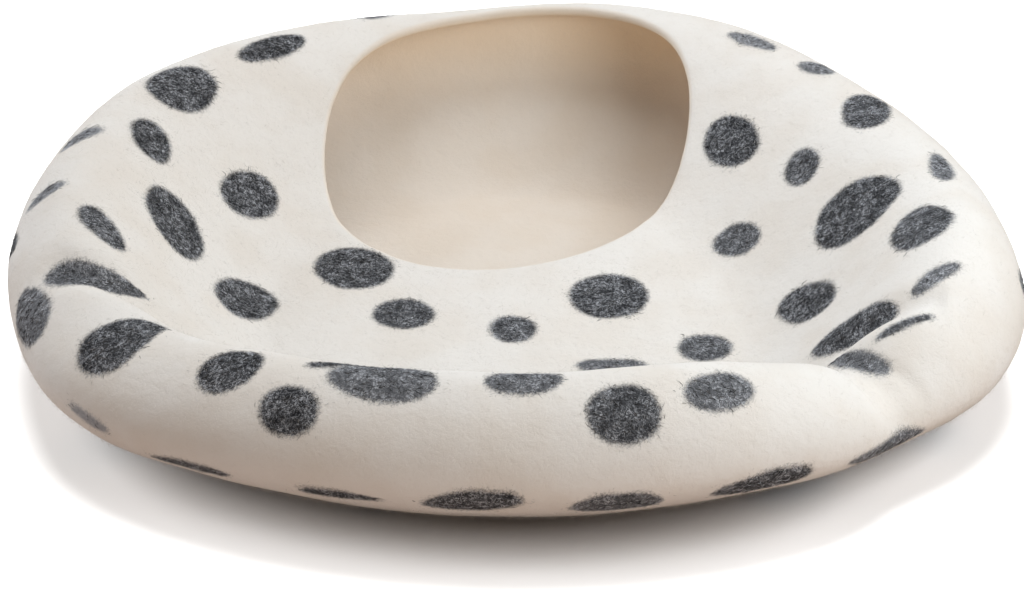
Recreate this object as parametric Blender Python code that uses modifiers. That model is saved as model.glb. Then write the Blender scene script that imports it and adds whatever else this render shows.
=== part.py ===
"""Felt cat cave, pushed in to make a bed: one seamless shell of wool felt.

The pouch's top is pushed down inside it. The wall folds over into a fat rounded rim, the top lies
within as a dish, and the pouch's round mouth opens in the dish at the back.

Metres, +Z up. The origin is the middle of the flat foot, on the surface that the bed stands on.
A bearing is an angle seen from above: 0 is the front (-Y), 90 the right (+X), 180 the back (+Y).
"""

import math
from collections import namedtuple

import bmesh
import bpy
import numpy as np

MM = 0.001

# Driving sizes
FELT_THICKNESS = 6.0 * MM
DISH_FLOOR_Z = 31.0 * MM        # outer face of the dish at the origin
DISH_FLOOR_RISE = 0.12          # the dish's floor climbs this much for each metre towards the back
MOUTH_CENTRE = (-2.0 * MM, 122.0 * MM)
MOUTH_HALF_LENGTH = 113.0 * MM
MOUTH_HALF_WIDTH = 94.0 * MM
MOUTH_BEARING = 150.0           # the way that the mouth's length points

# The wall's line at each bearing, in millimetres: where it leaves the flat foot, its underside,
# its widest point, its crest, and how far the bank inside the crest reaches towards the middle.
Section = namedtuple(
    "Section", "bearing foot_r under_r under_z bulge_r bulge_z crest_r crest_z bank")
SECTIONS = (
    Section(0, 165, 222, 22, 254, 53, 215, 89, 80),      # front roll
    Section(25, 165, 227, 22, 259, 52, 219, 86, 80),
    Section(38, 165, 232, 21, 260, 48, 224, 74, 80),
    Section(46, 165, 234, 20, 256, 44, 226, 63, 85),     # low pinch at the front right
    Section(55, 167, 240, 18, 263, 46, 230, 78, 95),
    Section(66, 170, 246, 17, 266, 46, 230, 90, 105),    # broad lobe on the right
    Section(90, 167, 226, 22, 251, 55, 218, 92, 115),
    Section(122, 160, 210, 22, 239, 60, 213, 96, 120),
    Section(150, 158, 206, 22, 242, 62, 225, 101, 115),
    Section(168, 158, 208, 22, 244, 62, 235, 97, 115),   # upright wall behind the mouth
    Section(185, 158, 207, 22, 241, 60, 230, 94, 115),
    Section(210, 158, 210, 22, 244, 60, 220, 99, 115),
    Section(237, 160, 217, 22, 252, 60, 219, 102, 110),
    Section(262, 165, 220, 22, 252, 58, 218, 98, 105),
    Section(288, 168, 232, 21, 258, 55, 222, 88, 98),    # shallow pinch on the left
    Section(308, 168, 238, 21, 267, 52, 227, 80, 88),
    Section(332, 165, 227, 22, 258, 53, 218, 86, 82),
)

# Creases where the felt buckles, as lines seen from above, in millimetres. Each is a soft trough,
# deepest halfway along, pressed only into faces that look up.
Trough = namedtuple("Trough", "name start end depth half_width")
TROUGHS = (
    Trough("behind the right lobe", (132, -112), (205, -122), 7.0, 9.0),
    Trough("over the right pinch", (140, -120), (184, -192), 4.0, 11.0),
    Trough("behind the left roll", (-150, -112), (-232, -84), 8.0, 12.0),
)
TROUGH_RUN_OUT = 0.5            # power of the half sine wave along a trough: lower ends more bluntly
LOWEST_SLOPE_PRESSED = -0.5     # upward share of a face's normal from which a trough starts to press

# Fineness of the mesh
COLUMNS_PER_SECTION = 4
RINGS = 28                      # from the edge of the foot to the mouth
FOOT_RINGS = 2
CURVE_STEPS = 24                # steps between two points of a section while it is worked out
DISH_STEPS = 90
BEND_WEIGHT = 30.0 * MM         # how much closer the rings lie where the felt bends, per radian

FELT_COLOUR = (0.80, 0.74, 0.68, 1.0)
FELT_ROUGHNESS = 0.95


def remove_everything():
    for old in list(bpy.data.objects):
        bpy.data.objects.remove(old, do_unlink=True)


def smooth_step(value):
    value = np.clip(value, 0.0, 1.0)
    return value * value * (3.0 - 2.0 * value)


def around(column, bearing):
    """A column of SECTIONS at any bearing, in metres: a smooth closed curve through the rows."""
    stations = np.array([row.bearing for row in SECTIONS], dtype=float)
    values = np.array([getattr(row, column) for row in SECTIONS]) * MM
    gaps = (np.roll(stations, -1) - stations) % 360.0
    slopes = (np.roll(values, -1) - values) / gaps
    gaps_before = np.roll(gaps, 1)
    tangents = (np.roll(slopes, 1) * gaps + slopes * gaps_before) / (gaps + gaps_before)
    bearing = np.asarray(bearing, dtype=float) % 360.0
    row = (np.searchsorted(stations, bearing, side="right") - 1) % len(stations)
    after = (row + 1) % len(stations)
    way = ((bearing - stations[row]) % 360.0) / gaps[row]
    return hermite(values[row], tangents[row] * gaps[row],
                   values[after], tangents[after] * gaps[row], way)


def hermite(first, first_tangent, last, last_tangent, way):
    return ((2 * way**3 - 3 * way**2 + 1) * first + (way**3 - 2 * way**2 + way) * first_tangent
            + (3 * way**2 - 2 * way**3) * last + (way**3 - way**2) * last_tangent)


def curve_through(points, first_direction, last_direction, steps):
    """A smooth curve through points in a plane, with given directions at its two ends."""
    points = np.array(points, dtype=float)
    spans = np.linalg.norm(np.diff(points, axis=0), axis=1)
    slopes = np.diff(points, axis=0) / spans[:, None]
    tangents = [np.array(first_direction, dtype=float)]
    for before, after, slope_in, slope_out in zip(spans, spans[1:], slopes, slopes[1:]):
        between = slope_in * after + slope_out * before
        tangents.append(between / np.linalg.norm(between))
    tangents.append(np.array(last_direction, dtype=float))
    ways = np.linspace(0.0, 1.0, steps, endpoint=False)[:, None]
    pieces = []
    for index, span in enumerate(spans):
        pieces.append(hermite(points[index], tangents[index] * span,
                              points[index + 1], tangents[index + 1] * span, ways))
    return np.vstack(pieces)


def outward(bearing):
    """The level direction that points outward at a bearing."""
    angle = math.radians(bearing)
    return np.array([math.sin(angle), -math.cos(angle)])


def dish_height(plan):
    """Height of the pushed-in top: a floor that climbs to the back, banked up to the crest."""
    bearing = np.degrees(np.arctan2(plan[:, 0], -plan[:, 1])) % 360.0
    radius = np.hypot(plan[:, 0], plan[:, 1])
    bank = around("bank", bearing)
    climb = smooth_step((radius - around("crest_r", bearing) + bank) / bank)
    floor = DISH_FLOOR_Z + DISH_FLOOR_RISE * plan[:, 1]
    return floor + (around("crest_z", bearing) - floor) * climb


def crest_point(bearing):
    return around("crest_r", bearing) * outward(bearing)


def mouth_edge(bearing):
    """The mouth's edge seen from above, on the way from the crest to the middle of the mouth."""
    away = crest_point(bearing) - np.array(MOUTH_CENTRE)
    away = away / np.linalg.norm(away)
    length_way = outward(MOUTH_BEARING)
    along = away @ length_way
    across = away @ np.array([-length_way[1], length_way[0]])
    reach = 1.0 / math.hypot(along / MOUTH_HALF_LENGTH, across / MOUTH_HALF_WIDTH)
    return np.array(MOUTH_CENTRE) + reach * away


def meridian(bearing):
    """The felt's outer face from the edge of the foot, over the rim and down to the mouth."""
    wall = curve_through(
        [(around("foot_r", bearing), 0.0),
         (around("under_r", bearing), around("under_z", bearing)),
         (around("bulge_r", bearing), around("bulge_z", bearing)),
         (around("crest_r", bearing), around("crest_z", bearing))],
        (1.0, 0.0), (-1.0, 0.0), CURVE_STEPS)
    wall_points = np.column_stack([np.outer(wall[:, 0], outward(bearing)), wall[:, 1]])
    edge = mouth_edge(bearing)
    to_centre = np.array(MOUTH_CENTRE) - edge
    plan = curve_through([crest_point(bearing), edge], -outward(bearing),
                         to_centre / np.linalg.norm(to_centre), DISH_STEPS)
    plan = np.vstack([plan, edge])
    return np.vstack([wall_points, np.column_stack([plan, dish_height(plan)])])


def spread_evenly(points, count):
    """Pick points along a line, closer together where it bends up or down."""
    steps = np.diff(points, axis=0)
    lengths = np.linalg.norm(steps, axis=1)
    slopes = np.arcsin(np.clip(steps[:, 2] / lengths, -1.0, 1.0))
    turns = np.abs(np.diff(slopes, prepend=slopes[0]))
    measure = np.concatenate([[0.0], np.cumsum(lengths + BEND_WEIGHT * turns)])
    wanted = np.linspace(0.0, measure[-1], count)
    return np.column_stack([np.interp(wanted, measure, points[:, axis]) for axis in range(3)])


def column_bearings():
    """Bearings of the mesh's columns: the same number between each two sections."""
    stations = [row.bearing for row in SECTIONS] + [SECTIONS[0].bearing + 360.0]
    bearings = []
    for start, end in zip(stations, stations[1:]):
        bearings.extend(np.linspace(start, end, COLUMNS_PER_SECTION, endpoint=False))
    return bearings


def grid_normals(grid):
    """Outward normals of a grid of columns by rings, which closes round on itself."""
    across = np.roll(grid, -1, axis=0) - np.roll(grid, 1, axis=0)
    along = np.gradient(grid, axis=1)
    normals = np.cross(across, along)
    return normals / np.linalg.norm(normals, axis=2)[:, :, None]


def press_troughs(grid):
    """Press each crease into the felt's upper faces."""
    normals = grid_normals(grid)
    upper = smooth_step(normals[:, :, 2] - LOWEST_SLOPE_PRESSED)
    pressed = grid.copy()
    for trough in TROUGHS:
        start = np.array(trough.start) * MM
        line = np.array(trough.end) * MM - start
        plan = grid[:, :, :2] - start
        share = np.clip((plan @ line) / (line @ line), 0.0, 1.0)
        apart = np.linalg.norm(plan - share[:, :, None] * line, axis=2)
        depth = trough.depth * MM * np.exp(-(apart / (trough.half_width * MM))**2)
        depth *= np.sin(math.pi * share)**TROUGH_RUN_OUT * upper
        pressed -= normals * depth[:, :, None]
    return pressed


def felt_surface():
    """The open surface of the felt's outer face, from the middle of the foot to the mouth."""
    grid = np.array([spread_evenly(meridian(bearing), RINGS) for bearing in column_bearings()])
    grid = press_troughs(grid)
    surface = bmesh.new()
    rings = []
    for ring in range(1, FOOT_RINGS):
        edge = grid[:, 0] * ring / FOOT_RINGS
        rings.append([surface.verts.new(point) for point in edge])
    for ring in range(RINGS):
        rings.append([surface.verts.new(point) for point in grid[:, ring]])
    middle = surface.verts.new((0.0, 0.0, 0.0))
    columns = len(grid)
    for column in range(columns):
        beside = (column + 1) % columns
        surface.faces.new((middle, rings[0][beside], rings[0][column]))
        for lower, upper in zip(rings, rings[1:]):
            surface.faces.new((lower[column], lower[beside], upper[beside], upper[column]))
    return surface


def felt_material():
    material = bpy.data.materials.new("wool_felt")
    material.use_nodes = True
    shader = material.node_tree.nodes["Principled BSDF"]
    shader.inputs["Base Color"].default_value = FELT_COLOUR
    shader.inputs["Roughness"].default_value = FELT_ROUGHNESS
    shader.inputs["Metallic"].default_value = 0.0
    return material


def make_felt_shell(collection):
    surface = felt_surface()
    mesh = bpy.data.meshes.new("felt_shell")
    surface.to_mesh(mesh)
    surface.free()
    mesh.shade_smooth()
    mesh.materials.append(felt_material())
    shell = bpy.data.objects.new("felt_shell", mesh)
    collection.objects.link(shell)
    thickness = shell.modifiers.new("felt thickness", "SOLIDIFY")
    thickness.thickness = FELT_THICKNESS
    thickness.offset = -1.0
    return shell


def main():
    remove_everything()
    collection = bpy.data.collections.new("felt_cat_cave")
    bpy.context.scene.collection.children.link(collection)
    make_felt_shell(collection)


main()
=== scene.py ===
"""Looks of the felt cat cave: cream wool felt with charcoal spots, pushed in to make a round bed.

Metres, +Z up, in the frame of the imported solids. A bearing is an angle seen from above: 0 is the
front (-Y), 90 the right (+X), 180 the back (+Y). Pixels are those of the 1024 x 594 photograph.
"""

import math
from collections import namedtuple

import bpy
import numpy as np
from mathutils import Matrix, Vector, noise
from mathutils.bvhtree import BVHTree


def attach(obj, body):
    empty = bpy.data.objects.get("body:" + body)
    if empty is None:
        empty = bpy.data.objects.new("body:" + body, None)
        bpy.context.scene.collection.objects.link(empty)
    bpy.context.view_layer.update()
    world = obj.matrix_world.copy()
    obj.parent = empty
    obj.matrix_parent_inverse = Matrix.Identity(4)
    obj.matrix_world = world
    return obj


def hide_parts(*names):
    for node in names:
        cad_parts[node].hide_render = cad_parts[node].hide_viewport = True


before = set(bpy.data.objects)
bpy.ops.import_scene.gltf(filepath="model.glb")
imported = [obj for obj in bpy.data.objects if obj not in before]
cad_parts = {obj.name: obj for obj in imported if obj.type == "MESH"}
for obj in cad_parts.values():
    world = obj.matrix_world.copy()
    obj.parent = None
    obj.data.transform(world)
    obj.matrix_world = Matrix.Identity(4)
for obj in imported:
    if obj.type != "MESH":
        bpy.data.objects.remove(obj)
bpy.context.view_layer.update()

MM = 0.001
RANDOM_SEED = 11

# The camera, found by matching the outline and the mouth of the bed to the photograph
PHOTO_WIDTH = 1024
PHOTO_HEIGHT = 594
CAMERA_ELEVATION = math.radians(25.0)
CAMERA_DISTANCE = 1.5
CAMERA_TARGET = Vector((0.0, 0.0, 0.06))
TARGET_PIXEL_Y = 231.0          # the target lies on the photograph's middle column, at this row
PIXELS_PER_METRE = 1948.0       # at the target
SENSOR_WIDTH_MM = 36.0

# Driving sizes of the bed, as in the solid
FELT_THICKNESS = 6.0 * MM
DISH_FLOOR_Z = 31.0 * MM
DISH_FLOOR_RISE = 0.12          # towards the back
MOUTH_CENTRE = (-2.0 * MM, 122.0 * MM)
MOUTH_HALF_LENGTH = 113.0 * MM
MOUTH_HALF_WIDTH = 94.0 * MM
MOUTH_BEARING = 150.0           # of its length
LIP_ROOM = 0.3                  # most of the way from the mouth to the crest that the lip takes up

# Sections of the rim by bearing, in millimetres: radius of the foot's edge, then radius and height
# of the tuck under the roll, of the bulge and of the crest, and how far in from the crest the bank
# reaches
Section = namedtuple(
    "Section", "bearing foot_r under_r under_z bulge_r bulge_z crest_r crest_z bank")
SECTIONS = (
    Section(0, 165, 222, 22, 254, 53, 215, 89, 80),      # front roll
    Section(25, 165, 227, 22, 259, 52, 219, 86, 80),
    Section(38, 165, 232, 21, 260, 48, 224, 74, 80),
    Section(46, 165, 234, 20, 256, 44, 226, 63, 85),     # low pinch at the front right
    Section(55, 167, 240, 18, 263, 46, 230, 78, 95),
    Section(66, 170, 246, 17, 266, 46, 230, 90, 105),    # broad lobe on the right
    Section(90, 167, 226, 22, 251, 55, 218, 92, 115),
    Section(122, 160, 210, 22, 239, 60, 213, 96, 120),
    Section(150, 158, 206, 22, 242, 62, 225, 101, 115),
    Section(168, 158, 208, 22, 244, 62, 235, 97, 115),   # upright wall behind the mouth
    Section(185, 158, 207, 22, 241, 60, 230, 94, 115),
    Section(210, 158, 210, 22, 244, 60, 220, 99, 115),
    Section(237, 160, 217, 22, 252, 60, 219, 102, 110),
    Section(262, 165, 220, 22, 252, 58, 218, 98, 105),
    Section(288, 168, 232, 21, 258, 55, 222, 88, 98),    # shallow pinch on the left
    Section(308, 168, 238, 21, 267, 52, 227, 80, 88),
    Section(332, 165, 227, 22, 258, 53, 218, 86, 82),
)

# Creases where the felt buckles, as lines seen from above, in millimetres
Trough = namedtuple("Trough", "name start end depth half_width")
TROUGHS = (
    Trough("behind the right lobe", (132, -112), (205, -122), 7.0, 9.0),
    Trough("over the right pinch", (140, -120), (184, -192), 4.0, 11.0),
    Trough("behind the left roll", (-150, -112), (-232, -84), 8.0, 12.0),
    Trough("upper wrinkle of the pinch", (158, -142), (192, -170), 1.3, 3.6),
    Trough("lower wrinkle of the pinch", (148, -158), (172, -192), 1.1, 3.2),
)
TROUGH_RUN_OUT = 0.5            # a trough runs out at its ends as a sine raised to this power
LOWEST_SLOPE_PRESSED = -0.5     # rise of the felt's normal below which nothing is pressed

# Unevenness of hand-felted wool: lumps of each size, raised and sunk by this much, in millimetres
Lumps = namedtuple("Lumps", "name size height")
LUMPS = (
    Lumps("broad swells", 75.0, 0.9),
    Lumps("finger hollows", 27.0, 0.45),
    Lumps("matting", 10.0, 0.16),
)
LUMPS_APART = 17.0              # keeps the lumps of one size clear of the pattern of another
LUMPS_SHIFT = (5.0, 3.0)        # where in the noise they are taken
LUMPS_START_Z = 2.0 * MM        # none below this height, so that the foot stays flat
LUMPS_FULL_Z = 16.0 * MM

# Fineness of the mesh
COLUMNS_PER_SECTION = 20
RINGS = 126                     # from the edge of the foot to the mouth
FOOT_RINGS = 9
LIP_RINGS = 5
CURVE_STEPS = 60                # per stretch of the wall, before its rings are spread
DISH_STEPS = 240
BEND_WEIGHT = 30.0 * MM         # length that a bend of one radian counts for as rings are spread

# Spots: centre in the photograph, then length and width on the felt in millimetres, and how far
# the length is turned anticlockwise from the photograph's level. Taper narrows one end: the
# right-hand end when positive, the left-hand end when negative. Pale is how much light wool is
# mixed in. A spot that the outline cuts has its centre this many millimetres beyond its pixel.
Spot = namedtuple("Spot", "name x y length width turn taper pale beyond", defaults=(0.0, 0.0, 0.0))
SPOTS = (
    # along the back of the rim, from left to right
    Spot("rim 1", 272, 47, 47, 20, 31),
    Spot("rim 2", 752, 41, 33, 11, -35, 0, 1.1),
    Spot("rim 3", 817, 68, 23, 13, -34, 0, 0.8),
    # dish, upper left
    Spot("upper left 1", 182, 86, 47, 37, 44),
    Spot("upper left 2", 152, 140, 34, 22, 80),
    Spot("upper left 3", 80, 137, 27, 13, 60, 0, 1.4),
    Spot("upper left 4", 43, 195, 26, 10, 58, 0, 1.4),
    Spot("upper left 5", 249, 195, 38, 31, 20),
    Spot("upper left 6", 175, 224, 50, 34, 75),
    Spot("upper left 7", 103, 227, 39, 18, 88, 0, 0.1),
    # dish, upper right
    Spot("upper right 1", 867, 110, 38, 27, -77, 0, 0.1),
    Spot("upper right 2", 731, 141, 40, 31, -42),
    Spot("upper right 3", 941, 167, 33, 13, 76, 0, 0.75),
    Spot("upper right 4", 802, 167, 27, 21, -70, 0, 0.15),
    Spot("upper right 5", 856, 210, 52, 46, 56),
    Spot("upper right 6", 920, 226, 42, 33, -56, 0, 0.2),
    Spot("upper right 7", 737, 240, 27, 23, -4, 0, 0.35),
    # dish floor
    Spot("floor 1", 354, 268, 44, 39, -30),
    Spot("floor 2", 404, 314, 32, 27, -5, 0, 0.15),
    Spot("floor 3", 513, 329, 25, 24, 0, 0, 0.25),
    Spot("floor 4", 609, 296, 43, 41, 60),
    Spot("floor 5", 705, 348, 28, 24, 10, 0, 0.35),
    Spot("floor 6", 808, 303, 42, 28, 0),
    Spot("floor 7", 245, 300, 38, 31, 5),
    # left roll and its crease
    Spot("left roll 1", 98, 280, 54, 18, -19, 0.75, 0.4),
    Spot("left roll 2", 29, 315, 45, 25, -30, 0, 0.8),
    Spot("left roll 3", 121, 338, 47, 32, 52, 0.3),
    # right lobe and its crease
    Spot("right lobe 1", 935, 276, 31, 10, 48, 0, 0.6),
    Spot("right lobe 2", 903, 324, 31, 7, 38, 0, 0.25),
    Spot("right lobe 3", 853, 330, 52, 20, 28, -0.1, 0.15),
    Spot("right lobe 4", 852, 360, 47, 12, -8, -0.4, 0.75),
    # front roll, crest and wall
    Spot("front 1", 611, 366, 37, 13, 0, 0, 0.5),
    Spot("front 2", 229, 369, 32, 27, 40),
    Spot("front 3", 523, 381, 36, 18, 2, 0, 0.55),
    Spot("front 4", 382, 379, 52, 27, -10, 0, 0.6),
    Spot("front 5", 720, 391, 34, 22, 11, 0, 0.6),
    Spot("front 6", 624, 413, 34, 30, 16, 0, 0.15),
    Spot("front 7", 288, 410, 29, 25, -19),
    Spot("front 8", 334, 364, 26, 8, -6),
    # under the bulge, half seen
    Spot("under 1", 88, 419, 26, 6, -28, 0, 2.6),
    Spot("under 2", 888, 447, 56, 11, 21, 0, 0.6),
    Spot("under 3", 763, 484, 48, 17, 26),
    Spot("under 4", 616, 505, 42, 19, 11, 0, 0.45),
    Spot("under 5", 471, 503, 45, 16, 3),
    Spot("under 6", 341, 495, 38, 8, -14, 0.4),
    Spot("under 7", 189, 466, 44, 9, -22),
    # on the far side of the rim, where only their edges show
    Spot("far 1", 374, 20, 32, 23, 0, 0, 0.6, 14),
    Spot("far 2", 13, 249, 40, 16, 0, 0, 0.2, 15),
    Spot("far 3", 1017, 285, 36, 13, 0, 0, 0.8, 26),
)
SPOT_WOBBLE = 1.3 * MM          # how far a spot's outline strays from an ellipse
SPOT_WOBBLE_SIZE = 14.0 * MM
NO_SPOT = 1.0                   # distance from the nearest spot where there is none
NEARLY_ZERO = 1e-6              # keeps a division at a spot's very centre finite
SEEN_WITHIN = 1.5 * MM          # a point is seen when the view's ray ends this close to it

# Spots on the sides that the photograph doesn't show, scattered at about the same spacing and sizes
UNSEEN_SPACING = 60.0 * MM
UNSEEN_MARGIN = 5.0 * MM        # felt left clear between such a spot and what the photograph shows
UNSEEN_LENGTH = (30.0 * MM, 52.0 * MM)
UNSEEN_ROUNDNESS = (0.66, 0.95)
LEVEL_FELT = 0.7                # rise of the normal above which felt counts as lying level

# Two outer spots whose dark wool shows faintly through inside: their centres seen through the mouth
GHOST_PIXELS = ((660, 100), (372, 84))
GHOST_DIAMETER = 42.0 * MM
GHOST_FADE = (8.0 * MM, -12.0 * MM)     # from no dark wool, outside the spot, to the most of it
GHOST_SHARE = 0.07

# Colours, linear
CREAM = (0.80, 0.765, 0.725)
CREAM_WARM = (0.77, 0.72, 0.665)
CREAM_THREAD = (0.60, 0.52, 0.45)
# tan of the inside: slightly warmer wool, deepened with painted shade
SHADED_CREAM_INSIDE = (0.85, 0.655, 0.455)
CHARCOAL = (0.006, 0.006, 0.008)
GREY_WOOL = (0.050, 0.052, 0.058)
LIGHT_WOOL = (0.43, 0.44, 0.47)
GHOST_WOOL = (0.16, 0.13, 0.10)
TABLE_WHITE = (0.97, 0.97, 0.97)
TABLE_BOUNCE = (0.21, 0.17, 0.148)      # as the bed is lit by it: less, so the roll keeps its shade

# How much of the inside's tan the felt takes on in the pouch, a painted shade over wool that is
# itself a little warmer: more from the lower to the higher height, up under the rim, and more from
# the middle to this far to the right. On the lip it goes from one share to the other.
INSIDE_PALE_Z = 32.0 * MM
INSIDE_WARM_Z = 80.0 * MM
INSIDE_PALE_SHARE = 0.35
INSIDE_LEFT_SHARE = 0.72
INSIDE_WARM_X = 90.0 * MM
LIP_SHARES = (0.2, 0.8)

# Grain of the wool, as noise: the size of its features in millimetres and Blender's own settings
Grain = namedtuple("Grain", "size detail distortion roughness", defaults=(2.0, 0.0, 0.5))
PATCHES = Grain(38.0, detail=3.0)                   # warmer wool in the cream
THREADS = Grain(1.3, distortion=1.2)                # darker threads in the cream
FLECKS = Grain(0.9, distortion=0.9, roughness=0.6)  # grey in the charcoal
DENSITY = Grain(8.0)                                # how closely light fibres lie in the charcoal
CURLS = (Grain(1.9, distortion=1.1), Grain(1.2, distortion=0.6))    # those fibres
CURL_GAPS_SCALE = 1.3           # size of the gaps in a curl, as a multiple of the curl's size
CURL_GAPS_DETAIL = 1.0
TUFTS = Grain(5.5, detail=4.0, distortion=0.4)      # coarse relief
FUZZ = Grain(1.1, detail=3.0, distortion=1.0)       # fine relief, and frayed edges of the spots
FIBRE_GRAIN = Grain(2.5)                            # uneven colour of the loose fibres
NOISE_MIDDLE = 0.5

# Parts of a noise's range over which something comes in, from none to all of it
PATCHES_SPAN = (0.35, 0.68)
THREADS_SPAN = (0.46, 0.30)
FLECKS_SPAN = (0.42, 0.62)
DENSITY_SPAN = (0.36, 0.64)
CURL_SPAN = (0.050, 0.014)      # off the noise's middle
CURL_UNBROKEN_SPAN = (0.44, 0.58)
GHOST_THREADS_SPAN = (0.35, 0.65)
FIBRE_SPAN = (0.3, 0.7)

# Shares of a colour that is mixed in
THREADS_SHARE = 0.10            # of CREAM_THREAD
SPARSE_SHARE = 0.38             # of LIGHT_WOOL in the curls, where they lie least closely
DENSE_SHARE = 0.09              # of LIGHT_WOOL over all, where they lie closest
PALE_SHARE = 0.30               # of LIGHT_WOOL over all, in a spot whose pale is 1
GHOST_LEAST = 0.4               # of the dark wool that shows through, between its threads
FIBRE_SHARE = 0.12              # of CREAM_WARM in a loose fibre

# Edges of the spots and relief of the wool
FRAY = 2.6 * MM                 # how far at most the fuzz carries a spot's edge to either side
EDGE_SOFTNESS = 1.9 * MM        # half the width over which a spot's colour comes in
TUFTS_HEIGHT = 0.55 * MM
FUZZ_HEIGHT = 0.22 * MM
RELIEF_STRENGTH = 0.7

FELT_SURFACE = {"Roughness": 1.0, "Specular IOR Level": 0.08, "Sheen Weight": 0.04,
                "Sheen Roughness": 0.6}
FIBRE_SURFACE = {"Roughness": 0.9, "Specular IOR Level": 0.2}
TABLE_SURFACE = {"Roughness": 0.9, "Specular IOR Level": 0.0}

# Studio: soft boxes by bearing and height in degrees, distance and width in metres, and power
Lamp = namedtuple("Lamp", "name bearing height distance size watts colour")
BED_LAMPS = (
    Lamp("high behind", 180, 65, 1.9, 1.55, 21.3, (0.99, 1.0, 1.0)),
    Lamp("low behind left", 240, 20, 1.9, 1.55, 20.0, (0.81, 0.91, 1.0)),
    Lamp("low front right", 45, 18, 1.9, 1.55, 10.4, (1.0, 0.91, 0.81)),
    Lamp("low front left", 315, 15, 1.9, 1.55, 4.2, (1.0, 0.92, 0.88)),
    Lamp("near right behind", 120, 50, 0.9, 0.7, 1.1, (0.80, 0.89, 1.0)),
    Lamp("near right", 60, 35, 0.8, 0.6, 2.8, (0.82, 0.93, 1.0)),
)
TABLE_LAMPS = (
    Lamp("table overhead", 0, 90, 2.2, 1.3, 74.0, (1.0, 1.0, 1.0)),
    Lamp("table front right", 45, 40, 2.2, 1.3, 22.0, (1.0, 1.0, 1.0)),
    Lamp("table front left", 315, 40, 2.2, 1.3, 19.0, (1.0, 1.0, 1.0)),
    Lamp("table right", 85, 35, 2.2, 1.3, 22.0, (1.0, 1.0, 1.0)),
    Lamp("table left", 275, 35, 2.2, 1.3, 19.0, (1.0, 1.0, 1.0)),
)
ROOM_COLOUR = (1.0, 0.84, 0.70)
ROOM_STRENGTH = 0.12
TABLE_REACH = 6.0               # from the bed's middle to the table's sides
TABLE_DROP = 0.3 * MM           # below the foot, so that the two faces don't coincide

# Loose fibres, in millimetres: how many, their length and width, how high they arch or stand, how
# far the tip bends sideways at most, as a share of the length, and whether they stand or lie
Fibres = namedtuple("Fibres", "name count length width lift bend standing")
NAP = (
    Fibres("nap_front", 18000, (1.5, 3.6), (0.05, 0.08), (0.7, 2.2), 0.8, True),
    Fibres("nap_back", 18000, (1.5, 3.6), (0.05, 0.08), (0.7, 2.2), 0.8, True),
)
NAP_SIDES = (-1.0, 1.0)         # which way along Y each part of the nap grows from the middle
SPOT_FIBRES = Fibres("spot_fibres", 12000, (1.6, 3.4), (0.16, 0.32), (0.05, 0.35), 1.6, False)
EDGE_FIBRES = Fibres("edge_fibres", 12000, (1.0, 2.4), (0.05, 0.11), (0.05, 0.30), 1.0, False)
SPOT_FIBRES_INSET = 2.4 * MM    # these keep this far inside a spot's edge
EDGE_FIBRES_BAND = 1.0 * MM     # and these about this close to it
STANDING_STATIONS = (0.0, 0.5, 1.0)         # along a standing fibre, the last at its tip
LYING_STATIONS = (0.0, 0.4, 0.75, 1.0)      # along a lying fibre
FIBRE_SWELLING = (0.7, 1.0, 0.75)           # thickness at each station but the tip
FIBRE_CORNERS = (90.0, 210.0, 330.0)        # of its three-sided section, in degrees
ROOT_DEPTH = 0.12 * MM                      # how far a fibre's root lies under the felt's face
FIBRES_START_Z = 2.0 * MM                   # none below this height
FIBRES_RISE = 10.0 * MM                     # height over which they come in above it

# Colours of the loose fibres, each with its share of them
NAP_ON_CREAM = ((CREAM, 0.7), (CREAM_WARM, 0.3))
NAP_ON_SPOTS = ((CHARCOAL, 0.5), (GREY_WOOL, 0.3), (LIGHT_WOOL, 0.2))
SPOT_MIXTURE = ((CHARCOAL, 0.42), (GREY_WOOL, 0.35), (LIGHT_WOOL, 0.23))
EDGE_MIXTURE = ((CHARCOAL, 0.07), (GREY_WOOL, 0.23), (LIGHT_WOOL, 0.34), (CREAM, 0.36))
FIBRE_BRIGHTNESS = (0.8, 1.1)


# ---------------------------------------------------------------- camera and light

View = namedtuple("View", "place back right up dip focal")


def camera_view():
    """The camera's place, its directions, its dip in radians, and its focal length in pixels."""
    level_back = Vector((0.0, -math.cos(CAMERA_ELEVATION), math.sin(CAMERA_ELEVATION)))
    place = CAMERA_TARGET + level_back * CAMERA_DISTANCE
    focal = PIXELS_PER_METRE * CAMERA_DISTANCE
    dip = CAMERA_ELEVATION + math.atan((PHOTO_HEIGHT / 2 - TARGET_PIXEL_Y) / focal)
    back = Vector((0.0, -math.cos(dip), math.sin(dip)))
    right = Vector((1.0, 0.0, 0.0))
    return View(place, back, right, back.cross(right), dip, focal)


def make_camera():
    """The scene's camera, where the photograph's stood."""
    view = camera_view()
    data = bpy.data.cameras.new("camera")
    data.sensor_width = SENSOR_WIDTH_MM
    data.lens = view.focal / PHOTO_WIDTH * SENSOR_WIDTH_MM
    camera = bpy.data.objects.new("camera", data)
    camera.location = view.place
    camera.rotation_euler = (math.pi / 2 - view.dip, 0.0, 0.0)
    bpy.context.scene.collection.objects.link(camera)
    bpy.context.scene.camera = camera


def pixel_ray(x, y):
    """The camera's place, and the direction in which it sees a pixel of the photograph."""
    view = camera_view()
    direction = (-view.back * view.focal + view.right * (x - PHOTO_WIDTH / 2)
                 + view.up * (PHOTO_HEIGHT / 2 - y))
    return view.place, direction.normalized()


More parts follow.
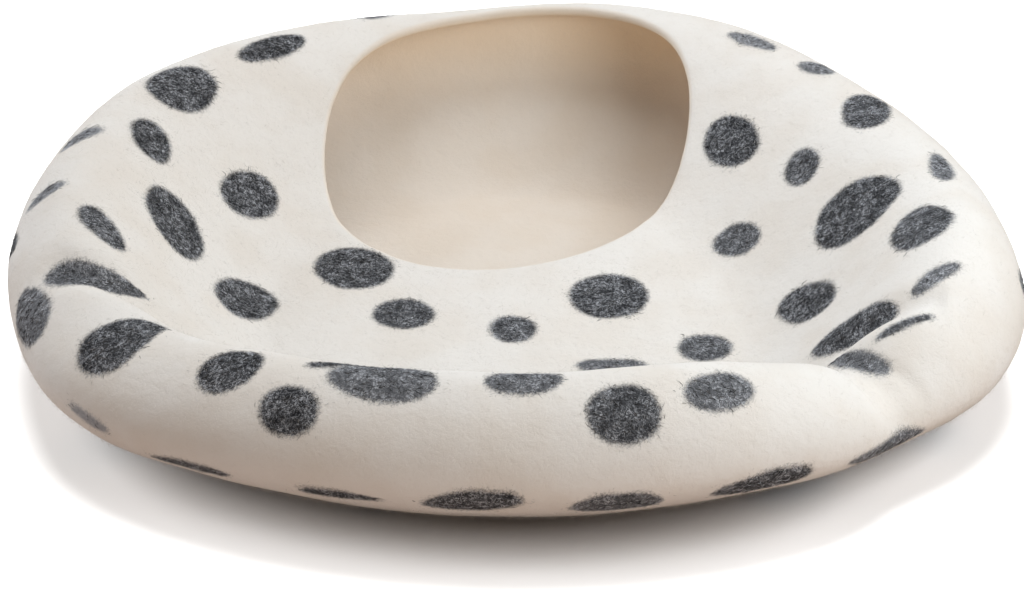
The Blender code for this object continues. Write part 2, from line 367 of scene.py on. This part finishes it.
def make_light(lamp):
    """A round soft box that points at the bed."""
    bearing = math.radians(lamp.bearing)
    height = math.radians(lamp.height)
    way = Vector((math.sin(bearing) * math.cos(height), -math.cos(bearing) * math.cos(height),
                  math.sin(height)))
    data = bpy.data.lights.new(lamp.name, "AREA")
    data.shape = "DISK"
    data.size = lamp.size
    data.energy = lamp.watts
    data.color = lamp.colour
    light = bpy.data.objects.new(lamp.name, data)
    light.location = CAMERA_TARGET + way * lamp.distance
    light.rotation_euler = way.to_track_quat("Z", "Y").to_euler()
    bpy.context.scene.collection.objects.link(light)
    return light


def make_studio(bed_pieces, table_pieces):
    """Soft boxes for the bed, others that keep the table white round a short shadow, a dim room."""
    for name, lamps, pieces in (("lit_bed", BED_LAMPS, bed_pieces),
                                ("lit_table", TABLE_LAMPS, table_pieces)):
        receivers = bpy.data.collections.new(name)
        for piece in pieces:
            receivers.objects.link(piece)
        for lamp in lamps:
            make_light(lamp).light_linking.receiver_collection = receivers
    world = bpy.data.worlds.new("studio")
    world.use_nodes = True
    room = world.node_tree.nodes["Background"]
    room.inputs["Color"].default_value = ROOM_COLOUR + (1.0,)
    room.inputs["Strength"].default_value = ROOM_STRENGTH
    bpy.context.scene.world = world
    bpy.context.scene.view_settings.view_transform = "Standard"


# ---------------------------------------------------------------- shape of the felt

def smooth_step(value):
    """0 up to 0, 1 from 1 on, and a smooth rise between."""
    value = np.clip(value, 0.0, 1.0)
    return value * value * (3.0 - 2.0 * value)


def hermite(first, first_tangent, last, last_tangent, way):
    """A cubic from first to last with these tangents, as way goes from 0 to 1."""
    return ((2 * way**3 - 3 * way**2 + 1) * first + (way**3 - 2 * way**2 + way) * first_tangent
            + (3 * way**2 - 2 * way**3) * last + (way**3 - way**2) * last_tangent)


def around(column, bearing):
    """A column of SECTIONS at any bearing, in metres: a smooth closed curve through the rows."""
    stations = np.array([row.bearing for row in SECTIONS], dtype=float)
    values = np.array([getattr(row, column) for row in SECTIONS]) * MM
    gaps = (np.roll(stations, -1) - stations) % 360.0
    slopes = (np.roll(values, -1) - values) / gaps
    gaps_before = np.roll(gaps, 1)
    tangents = (np.roll(slopes, 1) * gaps + slopes * gaps_before) / (gaps + gaps_before)
    bearing = np.asarray(bearing, dtype=float) % 360.0
    row = (np.searchsorted(stations, bearing, side="right") - 1) % len(stations)
    after = (row + 1) % len(stations)
    way = ((bearing - stations[row]) % 360.0) / gaps[row]
    return hermite(values[row], tangents[row] * gaps[row],
                   values[after], tangents[after] * gaps[row], way)


def curve_through(points, first_direction, last_direction, steps):
    """A smooth curve through points in a plane, with given directions at its two ends."""
    points = np.array(points, dtype=float)
    spans = np.linalg.norm(np.diff(points, axis=0), axis=1)
    slopes = np.diff(points, axis=0) / spans[:, None]
    tangents = [np.array(first_direction, dtype=float)]
    for before, after, slope_in, slope_out in zip(spans, spans[1:], slopes, slopes[1:]):
        between = slope_in * after + slope_out * before
        tangents.append(between / np.linalg.norm(between))
    tangents.append(np.array(last_direction, dtype=float))
    ways = np.linspace(0.0, 1.0, steps, endpoint=False)[:, None]
    pieces = []
    for index, span in enumerate(spans):
        pieces.append(hermite(points[index], tangents[index] * span,
                              points[index + 1], tangents[index + 1] * span, ways))
    return np.vstack(pieces)


def outward(bearing):
    """The level direction of a bearing, away from the bed's middle."""
    angle = math.radians(bearing)
    return np.array([math.sin(angle), -math.cos(angle)])


def dish_height(plan):
    """Height of the pushed-in top: a floor that climbs to the back, banked up to the crest."""
    bearing = np.degrees(np.arctan2(plan[:, 0], -plan[:, 1])) % 360.0
    radius = np.hypot(plan[:, 0], plan[:, 1])
    bank = around("bank", bearing)
    climb = smooth_step((radius - around("crest_r", bearing) + bank) / bank)
    floor = DISH_FLOOR_Z + DISH_FLOOR_RISE * plan[:, 1]
    return floor + (around("crest_z", bearing) - floor) * climb


def crest_point(bearing):
    """Where the rim's crest lies at a bearing, seen from above."""
    return around("crest_r", bearing) * outward(bearing)


def mouth_edge(bearing):
    """Where the felt starts to round over into the mouth: half its thickness before the edge, or
    less where the crest is close."""
    away = crest_point(bearing) - np.array(MOUTH_CENTRE)
    crest_reach = np.linalg.norm(away)
    away = away / crest_reach
    length_way = outward(MOUTH_BEARING)
    along = away @ length_way
    across = away @ np.array([-length_way[1], length_way[0]])
    reach = 1.0 / math.hypot(along / MOUTH_HALF_LENGTH, across / MOUTH_HALF_WIDTH)
    lip = min(FELT_THICKNESS / 2, LIP_ROOM * (crest_reach - reach))
    return np.array(MOUTH_CENTRE) + (reach + lip) * away


def meridian(bearing):
    """The felt's outer face from the edge of the foot, over the rim and down to the mouth."""
    wall = curve_through(
        [(around("foot_r", bearing), 0.0),
         (around("under_r", bearing), around("under_z", bearing)),
         (around("bulge_r", bearing), around("bulge_z", bearing)),
         (around("crest_r", bearing), around("crest_z", bearing))],
        (1.0, 0.0), (-1.0, 0.0), CURVE_STEPS)
    wall_points = np.column_stack([np.outer(wall[:, 0], outward(bearing)), wall[:, 1]])
    edge = mouth_edge(bearing)
    to_centre = np.array(MOUTH_CENTRE) - edge
    plan = curve_through([crest_point(bearing), edge], -outward(bearing),
                         to_centre / np.linalg.norm(to_centre), DISH_STEPS)
    plan = np.vstack([plan, edge])
    return np.vstack([wall_points, np.column_stack([plan, dish_height(plan)])])


def spread_evenly(points, count):
    """Pick points along a line, closer together where it bends up or down."""
    steps = np.diff(points, axis=0)
    lengths = np.linalg.norm(steps, axis=1)
    slopes = np.arcsin(np.clip(steps[:, 2] / lengths, -1.0, 1.0))
    turns = np.abs(np.diff(slopes, prepend=slopes[0]))
    measure = np.concatenate([[0.0], np.cumsum(lengths + BEND_WEIGHT * turns)])
    wanted = np.linspace(0.0, measure[-1], count)
    return np.column_stack([np.interp(wanted, measure, points[:, axis]) for axis in range(3)])


def column_bearings():
    """Bearings of the grid's columns: as many between any two sections that follow each other."""
    stations = [row.bearing for row in SECTIONS] + [SECTIONS[0].bearing + 360.0]
    bearings = []
    for start, end in zip(stations, stations[1:]):
        bearings.extend(np.linspace(start, end, COLUMNS_PER_SECTION, endpoint=False))
    return bearings


def grid_normals(grid):
    """Outward normals of a grid of columns by rings, which closes round on itself."""
    across = np.roll(grid, -1, axis=0) - np.roll(grid, 1, axis=0)
    along = np.gradient(grid, axis=1)
    normals = np.cross(across, along)
    return normals / np.linalg.norm(normals, axis=2)[:, :, None]


def press_troughs(grid):
    """Press each crease into the felt's upper faces."""
    normals = grid_normals(grid)
    upper = smooth_step(normals[:, :, 2] - LOWEST_SLOPE_PRESSED)
    pressed = grid.copy()
    for trough in TROUGHS:
        start = np.array(trough.start) * MM
        line = np.array(trough.end) * MM - start
        plan = grid[:, :, :2] - start
        share = np.clip((plan @ line) / (line @ line), 0.0, 1.0)
        apart = np.linalg.norm(plan - share[:, :, None] * line, axis=2)
        depth = trough.depth * MM * np.exp(-(apart / (trough.half_width * MM))**2)
        depth *= np.sin(math.pi * share)**TROUGH_RUN_OUT * upper
        pressed -= normals * depth[:, :, None]
    return pressed


def lumps_at(points):
    """Height of the hand-felted unevenness at each point."""
    heights = np.zeros(len(points))
    for index, lumps in enumerate(LUMPS):
        shift = Vector((LUMPS_APART * index, *LUMPS_SHIFT))
        scale = 1.0 / (lumps.size * MM)
        values = [noise.noise(Vector(point) * scale + shift) for point in points.tolist()]
        heights += np.array(values) * lumps.height * MM
    return heights


def outer_grid():
    """The felt's outer face as columns by rings, with the foot's rings first, and its normals."""
    wall = np.array([spread_evenly(meridian(bearing), RINGS) for bearing in column_bearings()])
    wall = press_troughs(wall)
    heights = lumps_at(wall.reshape(-1, 3)).reshape(wall.shape[:2])
    heights *= smooth_step((wall[:, :, 2] - LUMPS_START_Z) / (LUMPS_FULL_Z - LUMPS_START_Z))
    wall = wall + grid_normals(wall) * heights[:, :, None]
    shares = np.arange(1, FOOT_RINGS) / FOOT_RINGS
    foot = wall[:, :1] * shares[None, :, None]
    downward = np.tile((0.0, 0.0, -1.0), foot.shape[:2] + (1,))
    return (np.concatenate([foot, wall], axis=1),
            np.concatenate([downward, grid_normals(wall)], axis=1))


def lip_rings(outer_edge, inner_edge, normals):
    """Rings that round the felt over from its outer face to its inner face at the mouth."""
    centre = (outer_edge + inner_edge) / 2
    radius = np.linalg.norm(outer_edge - inner_edge, axis=1)[:, None] / 2
    across = np.roll(outer_edge, -1, axis=0) - np.roll(outer_edge, 1, axis=0)
    inward = np.cross(normals, across)
    inward /= np.linalg.norm(inward, axis=1)[:, None]
    rings = []
    for step in range(1, LIP_RINGS + 1):
        angle = math.pi * step / (LIP_RINGS + 1)
        rings.append(centre + radius * (normals * math.cos(angle) + inward * math.sin(angle)))
    return np.stack(rings, axis=1)


def grid_faces(columns, rings):
    """Quads of a grid that closes round on itself, numbered ring by ring within each column."""
    faces = []
    for column in range(columns):
        here = column * rings
        beside = (column + 1) % columns * rings
        for ring in range(rings - 1):
            faces.append((here + ring, beside + ring, beside + ring + 1, here + ring + 1))
    return faces


def grid_tree(grid):
    """A search tree of the faces of a closed grid."""
    return BVHTree.FromPolygons(grid.reshape(-1, 3).tolist(), grid_faces(*grid.shape[:2]))


# ---------------------------------------------------------------- spots

def ellipse_distance(along, across, half_length, half_width):
    """About how far points lie outside an ellipse, negative inside it."""
    reach = np.hypot(along / half_length, across / half_width)
    steepness = np.hypot(along / half_length**2, across / half_width**2)
    return reach * (reach - 1.0) / np.maximum(steepness, NEARLY_ZERO)


def distance_from_spot(points, centre, level, rising, spot):
    """How far each point of the felt lies outside a spot, measured over the felt's bends."""
    away = points - centre
    reach = np.linalg.norm(away, axis=-1)
    flat_level = away @ level
    flat_rising = away @ rising
    unfold = reach / np.maximum(np.hypot(flat_level, flat_rising), NEARLY_ZERO)
    turn = math.radians(spot.turn)
    along = (flat_level * math.cos(turn) + flat_rising * math.sin(turn)) * unfold
    across = (flat_rising * math.cos(turn) - flat_level * math.sin(turn)) * unfold
    half_length = spot.length * MM / 2
    half_width = spot.width * MM / 2
    narrowing = 1.0 - spot.taper * np.clip(along / half_length, -1.0, 1.0)
    return ellipse_distance(along, across / narrowing, half_length, half_width)


def felt_axes(normal, up):
    """Two directions in the felt's face: one at right angles to up, and one across it."""
    level = np.cross(up, normal)
    level /= np.linalg.norm(level)
    return level, np.cross(normal, level)


def seen_spots(outer, tree):
    """Distance from the nearest spot of the photograph, how pale that spot is, and the centres."""
    distance = np.full(outer.shape[:2], NO_SPOT)
    pale = np.zeros(outer.shape[:2])
    centres = []
    up = np.array(camera_view().up)
    for spot in SPOTS:
        eye, direction = pixel_ray(spot.x, spot.y)
        place, normal, _, _ = tree.ray_cast(eye, direction)
        if place is None:
            raise ValueError(f"the centre of spot {spot.name} misses the felt")
        if spot.beyond:
            place, normal, _, _ = tree.find_nearest(place + direction * spot.beyond * MM)
        level, rising = felt_axes(np.array(normal), up)
        centre = np.array(place)
        centres.append(centre)
        from_this = distance_from_spot(outer, centre, level, rising, spot)
        pale = np.where(from_this < distance, spot.pale, pale)
        distance = np.minimum(distance, from_this)
    return distance, pale, centres


def visible_points(outer, normals, tree):
    """Which points of the outer face the camera sees."""
    eye = camera_view().place
    seen = np.zeros(outer.shape[:2], dtype=bool)
    facing = ((np.array(eye) - outer) * normals).sum(axis=2) > 0.0
    for column, ring in zip(*np.nonzero(facing)):
        point = Vector(outer[column, ring])
        hit = tree.ray_cast(eye, (point - eye).normalized())[0]
        seen[column, ring] = hit is not None and (hit - point).length < SEEN_WITHIN
    return seen


def unseen_spots(outer, normals, seen, centres, rng):
    """Distance from the nearest of the spots scattered where the photograph doesn't show."""
    distance = np.full(outer.shape[:2], NO_SPOT)
    in_view = outer[seen]
    kept = list(centres)
    points = outer.reshape(-1, 3)
    flat_normals = normals.reshape(-1, 3)
    for index in rng.permutation(np.nonzero(~seen.ravel())[0]):
        centre = points[index]
        if np.linalg.norm(np.array(kept) - centre, axis=1).min() < UNSEEN_SPACING:
            continue
        room = np.linalg.norm(in_view - centre, axis=1).min() - UNSEEN_MARGIN
        if room < UNSEEN_LENGTH[0] / 2:
            continue
        kept.append(centre)
        length = rng.uniform(UNSEEN_LENGTH[0], min(UNSEEN_LENGTH[1], 2.0 * room))
        width = length * rng.uniform(*UNSEEN_ROUNDNESS)
        spot = Spot("unseen", 0, 0, length / MM, width / MM, rng.uniform(0.0, 180.0))
        lies_level = abs(flat_normals[index][2]) > LEVEL_FELT
        up = np.array((0.0, 1.0, 0.0) if lies_level else (0.0, 0.0, 1.0))
        level, rising = felt_axes(flat_normals[index], up)
        distance = np.minimum(distance, distance_from_spot(outer, centre, level, rising, spot))
    return distance


def ghost_spots(outer, normals, tree):
    """Distance from the two outer spots that show through inside, and their centres."""
    inner_tree = grid_tree(outer - normals * FELT_THICKNESS)
    distance = np.full(outer.shape[:2], NO_SPOT)
    centres = []
    for x, y in GHOST_PIXELS:
        shown = inner_tree.ray_cast(*pixel_ray(x, y))[0]
        place, normal, _, _ = tree.find_nearest(shown)
        level, rising = felt_axes(np.array(normal), np.array((0.0, 0.0, 1.0)))
        spot = Spot("ghost", x, y, GHOST_DIAMETER / MM, GHOST_DIAMETER / MM, 0.0)
        centre = np.array(place)
        centres.append(centre)
        distance = np.minimum(distance, distance_from_spot(outer, centre, level, rising, spot))
    return distance, centres


def wobble_at(points):
    """How far the outlines of the spots stray at each point."""
    scale = 1.0 / SPOT_WOBBLE_SIZE
    values = [noise.noise(Vector(point) * scale) for point in points.reshape(-1, 3).tolist()]
    return np.array(values).reshape(points.shape[:2]) * SPOT_WOBBLE


# ---------------------------------------------------------------- materials

# A Mix node has a set of sockets for each kind of value: these are the ones for colours
MIX_FIRST = 6
MIX_SECOND = 7
MIX_RESULT = 2


class Nodes:
    """A short way to write a material's nodes."""

    def __init__(self, name):
        self.material = bpy.data.materials.new(name)
        self.material.use_nodes = True
        self.tree = self.material.node_tree
        self.shader = self.tree.nodes["Principled BSDF"]

    def fill(self, socket, value):
        """Link a socket, or set it to a colour or a number."""
        if isinstance(value, bpy.types.NodeSocket):
            self.tree.links.new(value, socket)
        else:
            socket.default_value = value + (1.0,) if isinstance(value, tuple) else value

    def add(self, kind, inputs=None, **settings):
        node = self.tree.nodes.new(kind)
        for name, value in settings.items():
            setattr(node, name, value)
        for name, value in (inputs or {}).items():
            self.fill(node.inputs[name], value)
        return node

    def attribute(self, name, output="Fac"):
        return self.add("ShaderNodeAttribute", attribute_name=name).outputs[output]

    def noise(self, grain):
        place = self.add("ShaderNodeTexCoord").outputs["Object"]
        node = self.add("ShaderNodeTexNoise", {
            "Vector": place, "Scale": 1.0 / (grain.size * MM), "Detail": grain.detail,
            "Roughness": grain.roughness, "Distortion": grain.distortion})
        return node.outputs["Fac"]

    def maths(self, operation, first, second=0.0, third=0.0):
        node = self.add("ShaderNodeMath", {0: first, 1: second, 2: third}, operation=operation)
        return node.outputs[0]

    def span(self, value, low, high, out_low=0.0, out_high=1.0):
        """Value from low to high, mapped smoothly to a new span and held at its ends."""
        node = self.add(
            "ShaderNodeMapRange",
            {"Value": value, "From Min": low, "From Max": high, "To Min": out_low,
             "To Max": out_high}, interpolation_type="SMOOTHSTEP")
        return node.outputs["Result"]

    def blend(self, share, first, second):
        """First colour where share is 0, second where it is 1."""
        node = self.add("ShaderNodeMix", {"Factor": share}, data_type="RGBA")
        self.fill(node.inputs[MIX_FIRST], first)
        self.fill(node.inputs[MIX_SECOND], second)
        return node.outputs[MIX_RESULT]

    def finish(self, colour, surface):
        """The material, with this colour and the same surface all over."""
        self.fill(self.shader.inputs["Base Color"], colour)
        for name, value in surface.items():
            self.fill(self.shader.inputs[name], value)
        return self.material


def cream_wool(nodes, threads):
    """Cream, a little warmer in patches, with faint darker threads, and tan inside: painted shade
    over slightly warmer wool.
    """
    patches = nodes.span(nodes.noise(PATCHES), *PATCHES_SPAN)
    wool = nodes.blend(patches, CREAM, CREAM_WARM)
    # painted shade inside the pouch, over slightly warmer wool: the tan deepens up under the rim
    # and to the right
    wool = nodes.blend(nodes.attribute("inside"), wool, SHADED_CREAM_INSIDE)
    darker = nodes.span(threads, *THREADS_SPAN, 0.0, THREADS_SHARE)
    return nodes.blend(darker, wool, CREAM_THREAD)


def charcoal_wool(nodes):
    """Charcoal flecked with grey, and lighter fibres that curl through it, denser in places."""
    flecks = nodes.span(nodes.noise(FLECKS), *FLECKS_SPAN)
    wool = nodes.blend(flecks, CHARCOAL, GREY_WOOL)
    dense = nodes.span(nodes.noise(DENSITY), *DENSITY_SPAN)
    for curl in CURLS:
        off_middle = nodes.maths("SUBTRACT", nodes.noise(curl), NOISE_MIDDLE)
        line = nodes.span(nodes.maths("ABSOLUTE", off_middle), *CURL_SPAN)
        gaps = Grain(curl.size * CURL_GAPS_SCALE, detail=CURL_GAPS_DETAIL)
        share = nodes.maths("MULTIPLY", line, nodes.span(nodes.noise(gaps), *CURL_UNBROKEN_SPAN))
        share = nodes.maths("MULTIPLY", share, nodes.span(dense, 0.0, 1.0, SPARSE_SHARE, 1.0))
        wool = nodes.blend(share, wool, LIGHT_WOOL)
    wool = nodes.blend(nodes.maths("MULTIPLY", dense, DENSE_SHARE), wool, LIGHT_WOOL)
    pale = nodes.maths("MULTIPLY", nodes.attribute("pale"), PALE_SHARE)
    return nodes.blend(pale, wool, LIGHT_WOOL)


def felt_material():
    """Matted wool: cream, with charcoal spots that fray at their edges."""
    nodes = Nodes("wool_felt")
    threads = nodes.noise(THREADS)
    fuzz = nodes.noise(FUZZ)
    frayed = nodes.maths("MULTIPLY_ADD", fuzz, 2.0 * FRAY, -FRAY)
    edge = nodes.maths("ADD", nodes.attribute("spot_edge"), frayed)
    in_spot = nodes.span(edge, EDGE_SOFTNESS, -EDGE_SOFTNESS)
    colour = nodes.blend(in_spot, cream_wool(nodes, threads), charcoal_wool(nodes))
    through = nodes.span(nodes.attribute("ghost_edge"), *GHOST_FADE, 0.0, GHOST_SHARE)
    uneven = nodes.span(threads, *GHOST_THREADS_SPAN, GHOST_LEAST, 1.0)
    colour = nodes.blend(nodes.maths("MULTIPLY", through, uneven), colour, GHOST_WOOL)
    height = nodes.maths("MULTIPLY", nodes.noise(TUFTS), TUFTS_HEIGHT)
    height = nodes.maths("MULTIPLY_ADD", fuzz, FUZZ_HEIGHT, height)
    relief = nodes.add("ShaderNodeBump",
                       {"Height": height, "Strength": RELIEF_STRENGTH, "Distance": 1.0})
    nodes.fill(nodes.shader.inputs["Normal"], relief.outputs["Normal"])
    return nodes.finish(colour, FELT_SURFACE)


def fibre_material():
    """Loose fibres: each has its own colour."""
    nodes = Nodes("wool_fibre")
    uneven = nodes.span(nodes.noise(FIBRE_GRAIN), *FIBRE_SPAN, 0.0, FIBRE_SHARE)
    colour = nodes.blend(uneven, nodes.attribute("fibre_colour", "Color"), CREAM_WARM)
    return nodes.finish(colour, FIBRE_SURFACE)


def table_material():
    """White, but less so as the bed is lit by it."""
    nodes = Nodes("white_table")
    bounced = nodes.add("ShaderNodeLightPath").outputs["Is Diffuse Ray"]
    return nodes.finish(nodes.blend(bounced, TABLE_WHITE, TABLE_BOUNCE), TABLE_SURFACE)


# ---------------------------------------------------------------- table and shell

def add_object(name, points, faces, material, smooth=True):
    """A mesh of one material, linked to the scene."""
    mesh = bpy.data.meshes.new(name)
    mesh.from_pydata(points, [], faces)
    if smooth:
        mesh.shade_smooth()
    mesh.materials.append(material)
    piece = bpy.data.objects.new(name, mesh)
    bpy.context.scene.collection.objects.link(piece)
    return piece


def make_floor():
    """A plain table, white around the bed."""
    corners = [(TABLE_REACH * x, TABLE_REACH * y, 0.0)
               for x, y in ((-1, -1), (1, -1), (1, 1), (-1, 1))]
    floor = add_object("floor", corners, [(0, 1, 2, 3)], table_material(), smooth=False)
    floor.location.z = -TABLE_DROP
    return floor


def painted_inside_shade(inner):
    """Share of the inside's tan at each point of the inner face: painted shade, most high up and to
    the right.
    """
    climb = smooth_step((inner[:, :, 2] - INSIDE_PALE_Z) / (INSIDE_WARM_Z - INSIDE_PALE_Z))
    rightward = smooth_step(inner[:, :, 0] / INSIDE_WARM_X)
    return ((INSIDE_PALE_SHARE + (1.0 - INSIDE_PALE_SHARE) * climb)
            * (INSIDE_LEFT_SHARE + (1.0 - INSIDE_LEFT_SHARE) * rightward))


def make_shell(outer, normals, spot_edge, pale, ghost_edge, material):
    """The felt as one closed piece: outer face, rounded lip at the mouth, inner face."""
    inner = outer - normals * FELT_THICKNESS
    lip = lip_rings(outer[:, -1], inner[:, -1], normals[:, -1])
    skin = np.concatenate([outer, lip, inner[:, ::-1]], axis=1)
    columns, rings = skin.shape[:2]
    points = skin.reshape(-1, 3).tolist()
    foot_middle = len(points)
    points.append((0.0, 0.0, 0.0))
    inside_middle = len(points)
    points.append((0.0, 0.0, FELT_THICKNESS))
    faces = grid_faces(columns, rings)
    for column in range(columns):
        here = column * rings
        beside = (column + 1) % columns * rings
        faces.append((foot_middle, beside, here))
        faces.append((inside_middle, here + rings - 1, beside + rings - 1))
    shell = add_object("felt_cave", points, faces, material)

    # values for the material, over the outer face, the lip and the inner face
    nowhere = np.full(outer.shape[:2], NO_SPOT)
    lip_nowhere = np.full(lip.shape[:2], NO_SPOT)
    # painted shade of the inside: across the lip, then over the inner face
    lip_shade = np.tile(np.linspace(*LIP_SHARES, LIP_RINGS), (columns, 1))
    layers = {
        "spot_edge": (spot_edge, lip_nowhere, nowhere),
        "pale": (pale, np.zeros(lip.shape[:2]), np.zeros(outer.shape[:2])),
        "ghost_edge": (nowhere, lip_nowhere, ghost_edge[:, ::-1]),
        "inside": (np.zeros(outer.shape[:2]), lip_shade, painted_inside_shade(inner)[:, ::-1]),
    }
    for name, parts in layers.items():
        values = np.concatenate(parts, axis=1).ravel()
        middles = [values[0], values[rings - 1]]
        attribute = shell.data.attributes.new(name, "FLOAT", "POINT")
        attribute.data.foreach_set("value", np.concatenate([values, middles]).astype(np.float32))
    return shell


# ---------------------------------------------------------------- loose fibres

def quad_corners(values):
    """Values at the four corners of each quad of a closed grid, corner by corner."""
    beside = np.roll(values, -1, axis=0)
    return np.stack([values[:, :-1], beside[:, :-1], beside[:, 1:], values[:, 1:]], axis=2)


def scatter(outer, normals, chances, count, rng):
    """Random places on the outer face, more where chances are higher, the normals there, and each
    place's quad with the shares of its corners."""
    corners = quad_corners(outer)
    area = np.linalg.norm(np.cross(corners[:, :, 2] - corners[:, :, 0],
                                   corners[:, :, 3] - corners[:, :, 1]), axis=2) / 2
    weights = (area * quad_corners(chances).mean(axis=2)).ravel()
    picked = rng.choice(len(weights), size=count, p=weights / weights.sum())
    u, v = rng.random((2, count, 1))
    shares = np.stack([(1 - u) * (1 - v), u * (1 - v), u * v, (1 - u) * v], axis=1)
    places = (corners.reshape(-1, 4, 3)[picked] * shares).sum(axis=1)
    facing = (quad_corners(normals).reshape(-1, 4, 3)[picked] * shares).sum(axis=1)
    return places, facing / np.linalg.norm(facing, axis=1)[:, None], picked, shares[:, :, 0]


def fibre_paths(kind, places, facing, tree, rng):
    """Each fibre's bent line, as its places at a few stations, and the way across it."""
    count = len(places)
    length = rng.uniform(*kind.length, count) * MM
    lift = rng.uniform(*kind.lift, count) * MM
    bend = rng.uniform(-kind.bend, kind.bend, count)
    ahead = np.cross(facing, rng.normal(size=(count, 3)))
    ahead /= np.linalg.norm(ahead, axis=1)[:, None]
    aside = np.cross(facing, ahead)
    paths = []
    for station in STANDING_STATIONS if kind.standing else LYING_STATIONS:
        line = places + ahead * (length * station)[:, None]
        line += aside * (length * bend * station**2)[:, None]
        if kind.standing:
            rise = lift * station
        else:
            rise = lift * math.sin(math.pi * station)
            line = np.array([tree.find_nearest(point)[0] for point in line.tolist()])
        rooted = station == 0.0 or (station == 1.0 and not kind.standing)
        paths.append(line + facing * (rise - (ROOT_DEPTH if rooted else 0.0))[:, None])
    return np.stack(paths, axis=1), aside


def spindle_faces(tip, sides):
    """Triangles of one fibre whose points are rings of this many sides, and then its tip."""
    faces = [(0, 2, 1)]
    for lower in range(0, tip - sides, sides):
        for corner in range(sides):
            after = (corner + 1) % sides
            faces.append((lower + corner, lower + after, lower + sides + after))
            faces.append((lower + corner, lower + sides + after, lower + sides + corner))
    for corner in range(sides):
        faces.append((tip - sides + corner, tip - sides + (corner + 1) % sides, tip))
    return np.array(faces)


def make_fibres(kind, paths, aside, facing, colours, material, rng):
    """Fibres as one mesh of thin three-sided spindles."""
    count = len(paths)
    width = rng.uniform(*kind.width, count) * MM
    rings = []
    for station in range(paths.shape[1] - 1):
        swelling = FIBRE_SWELLING[station]
        for corner in FIBRE_CORNERS:
            angle = math.radians(corner)
            spoke = aside * math.cos(angle) + facing * math.sin(angle)
            rings.append(paths[:, station] + spoke * (width * swelling / 2)[:, None])
    rings.append(paths[:, -1])
    points = np.stack(rings, axis=1)
    per_fibre = points.shape[1]
    starts = np.arange(count)[:, None, None] * per_fibre
    faces = (starts + spindle_faces(per_fibre - 1, len(FIBRE_CORNERS))[None]).reshape(-1, 3)
    piece = add_object(kind.name, points.reshape(-1, 3).tolist(), faces.tolist(), material)
    attribute = piece.data.attributes.new("fibre_colour", "FLOAT_COLOR", "POINT")
    rgba = np.repeat(np.concatenate([colours, np.ones((count, 1))], axis=1), per_fibre, axis=0)
    attribute.data.foreach_set("color", rgba.astype(np.float32).ravel())
    return piece


def mixed_colours(mixture, count, rng):
    """One colour of the mixture for each fibre, each a little lighter or darker."""
    choices, chances = zip(*mixture)
    colours = np.array(choices)[rng.choice(len(choices), size=count, p=chances)]
    return colours * rng.uniform(*FIBRE_BRIGHTNESS, (count, 1))


def grow_fibres(outer, normals, spot_edge, tree, material, rng):
    """The nap all over the bed, fibres that lie on the spots, and fibres that cross their edges."""
    off_foot = smooth_step((outer[:, :, 2] - FIBRES_START_Z) / FIBRES_RISE)
    pieces = []
    for kind, side in zip(NAP, NAP_SIDES):
        chances = off_foot * (outer[:, :, 1] * side > 0.0)
        places, facing, picked, shares = scatter(outer, normals, chances, kind.count, rng)
        on_spot = (quad_corners(spot_edge).reshape(-1, 4)[picked] * shares).sum(axis=1) < 0.0
        cream = mixed_colours(NAP_ON_CREAM, kind.count, rng)
        grey = mixed_colours(NAP_ON_SPOTS, kind.count, rng)
        colours = np.where(on_spot[:, None], grey, cream)
        paths, aside = fibre_paths(kind, places, facing, tree, rng)
        pieces.append(make_fibres(kind, paths, aside, facing, colours, material, rng))
    for kind, chances, mixture in (
            (SPOT_FIBRES, spot_edge < -SPOT_FIBRES_INSET, SPOT_MIXTURE),
            (EDGE_FIBRES, np.exp(-(spot_edge / EDGE_FIBRES_BAND)**2), EDGE_MIXTURE)):
        places, facing, _, _ = scatter(outer, normals, off_foot * chances, kind.count, rng)
        paths, aside = fibre_paths(kind, places, facing, tree, rng)
        colours = mixed_colours(mixture, kind.count, rng)
        pieces.append(make_fibres(kind, paths, aside, facing, colours, material, rng))
    return pieces


# ---------------------------------------------------------------- build

make_camera()
floor = make_floor()

rng = np.random.default_rng(RANDOM_SEED)
outer, normals = outer_grid()
tree = grid_tree(outer)
spot_edge, pale, spot_centres = seen_spots(outer, tree)
ghost_edge, ghost_centres = ghost_spots(outer, normals, tree)
seen = visible_points(outer, normals, tree)
hidden_edge = unseen_spots(outer, normals, seen, spot_centres + ghost_centres, rng)
spot_edge = np.minimum(np.minimum(spot_edge, ghost_edge), hidden_edge) + wobble_at(outer)

shell = make_shell(outer, normals, spot_edge, pale, ghost_edge, felt_material())
fuzz = grow_fibres(outer, normals, spot_edge, tree, fibre_material(), rng)
for piece in [shell] + fuzz:
    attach(piece, "root")
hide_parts("felt_shell")
make_studio([shell] + fuzz, [floor])
